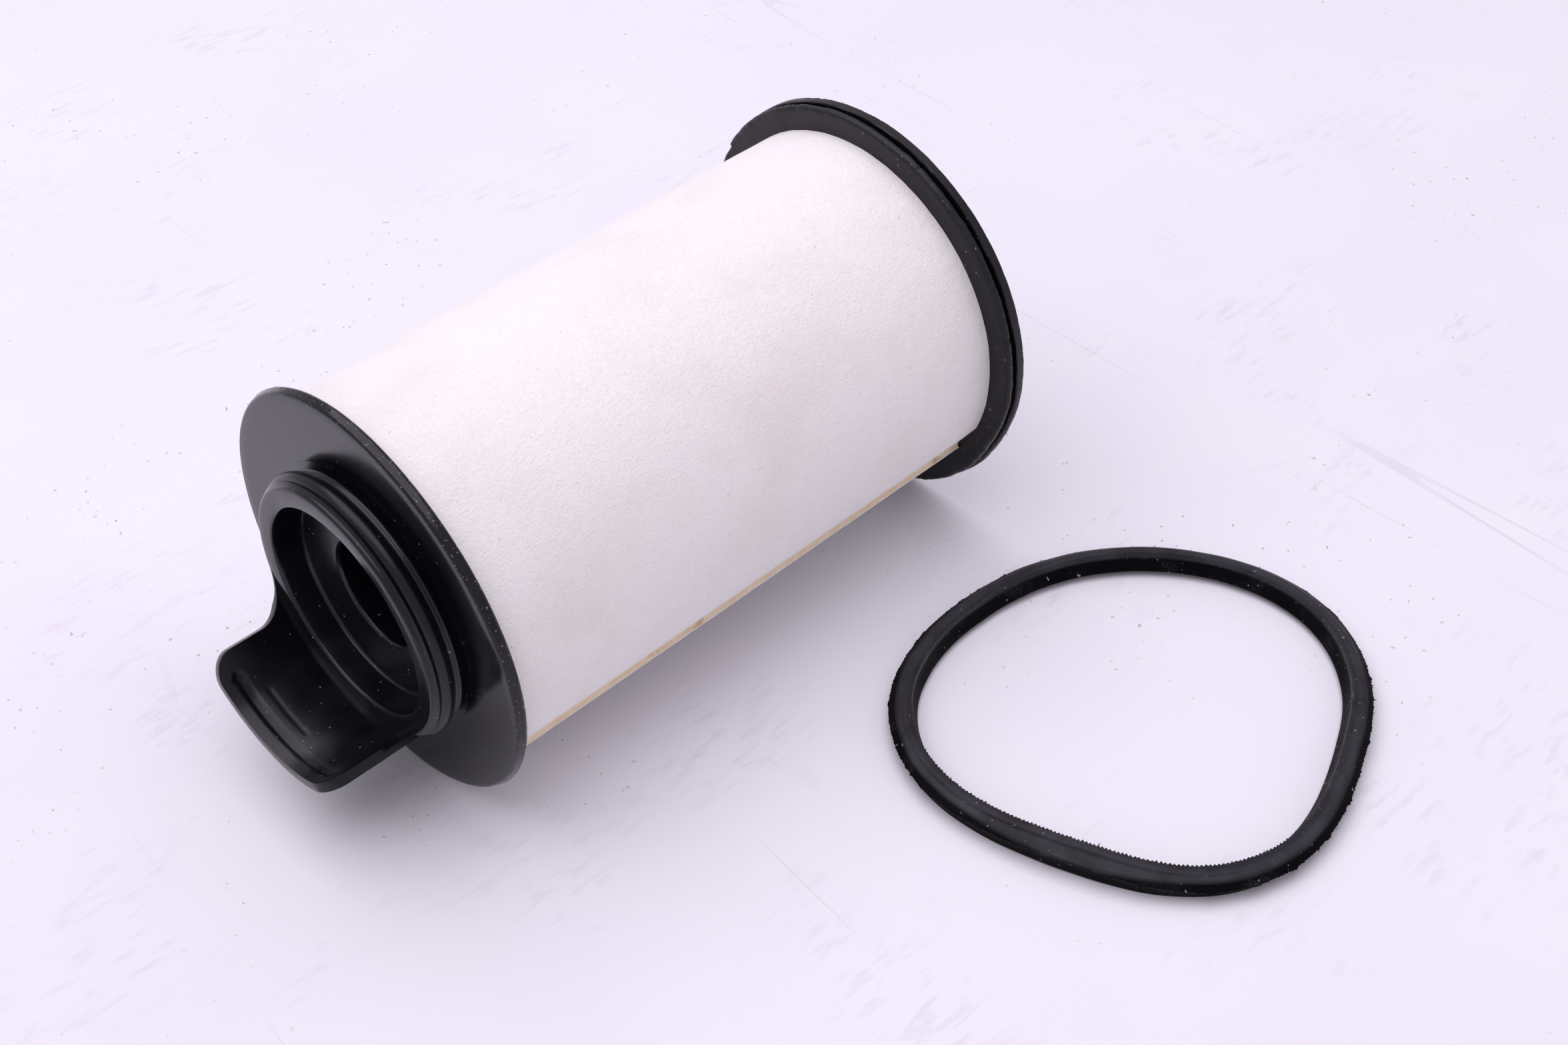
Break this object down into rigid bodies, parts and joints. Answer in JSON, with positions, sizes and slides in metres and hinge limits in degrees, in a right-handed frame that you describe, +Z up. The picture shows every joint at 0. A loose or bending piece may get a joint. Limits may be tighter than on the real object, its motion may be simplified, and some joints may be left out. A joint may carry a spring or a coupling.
{
  "type": "oil filter",
  "caption": "Felt-wrapped oil filter cartridge with a flanged neck, curved key tongue, double-lip rear seal, inner bypass valve and a loose cover seal lying beside it.",
  "frame": {"origin": "on the filter's axis, at the floor of the neck socket, which is level with the front flange's face", "axes": "+X along the filter's axis from the neck to the rear cap, +Z up as the filter lies on its side, +Y away from the loose cover seal"},
  "size_m": [0.222, 0.2222, 0.1054],
  "materials": {
    "cap_rubber": "satin moulded, slightly grainy",
    "neck_polymer": "satin moulded",
    "seal_rubber": "satin",
    "felt": "matte non-woven",
    "seam_glue": "semi-gloss dried adhesive",
    "zinc_steel": "zinc plated",
    "media": "matte resin-treated fibre",
    "scrim": "matte spun-bonded",
    "core_nylon": "matte moulded",
    "potting": "cured adhesive",
    "lip_rubber": "satin, ragged flash on the lips",
    "valve_steel": "turned",
    "valve_nylon": "matte moulded",
    "spring_steel": "drawn wire",
    "ring_rubber": "matte with pale dust"
  },
  "bodies": {
    "element": {"front_cap": "cap_rubber", "neck_socket": "neck_polymer", "neck_seal": "seal_rubber", "felt_wrap": "felt", "seam_bead": "seam_glue", "outer_support": "zinc_steel", "pleat_pack": "media", "core_scrim": "scrim", "core_tube": "core_nylon", "front_potting": "potting", "rear_potting": "potting", "rear_cap": "cap_rubber", "rear_lip_seal": "lip_rubber", "valve_seat": "valve_steel", "valve_cage": "valve_nylon", "valve_spring": "spring_steel"},
    "bypass_valve": {"valve_disc": "valve_steel", "valve_gasket": "seal_rubber"},
    "cover_ring": {"cover_seal": "ring_rubber"}
  },
  "joints": [
    {"name": "bypass_lift", "type": "slide", "parent": "element", "child": "bypass_valve", "axis": [-1, 0, 0], "range_m": [0, 0.005], "stiffness_N_per_m": 1000, "springref_m": -0.011, "deforming": ["valve_spring"]},
    {"name": "cover_seal_lift", "type": "slide", "parent": "element", "child": "cover_ring", "axis": [0, 0, 1], "range_m": [0, 0.12]}
  ]
}
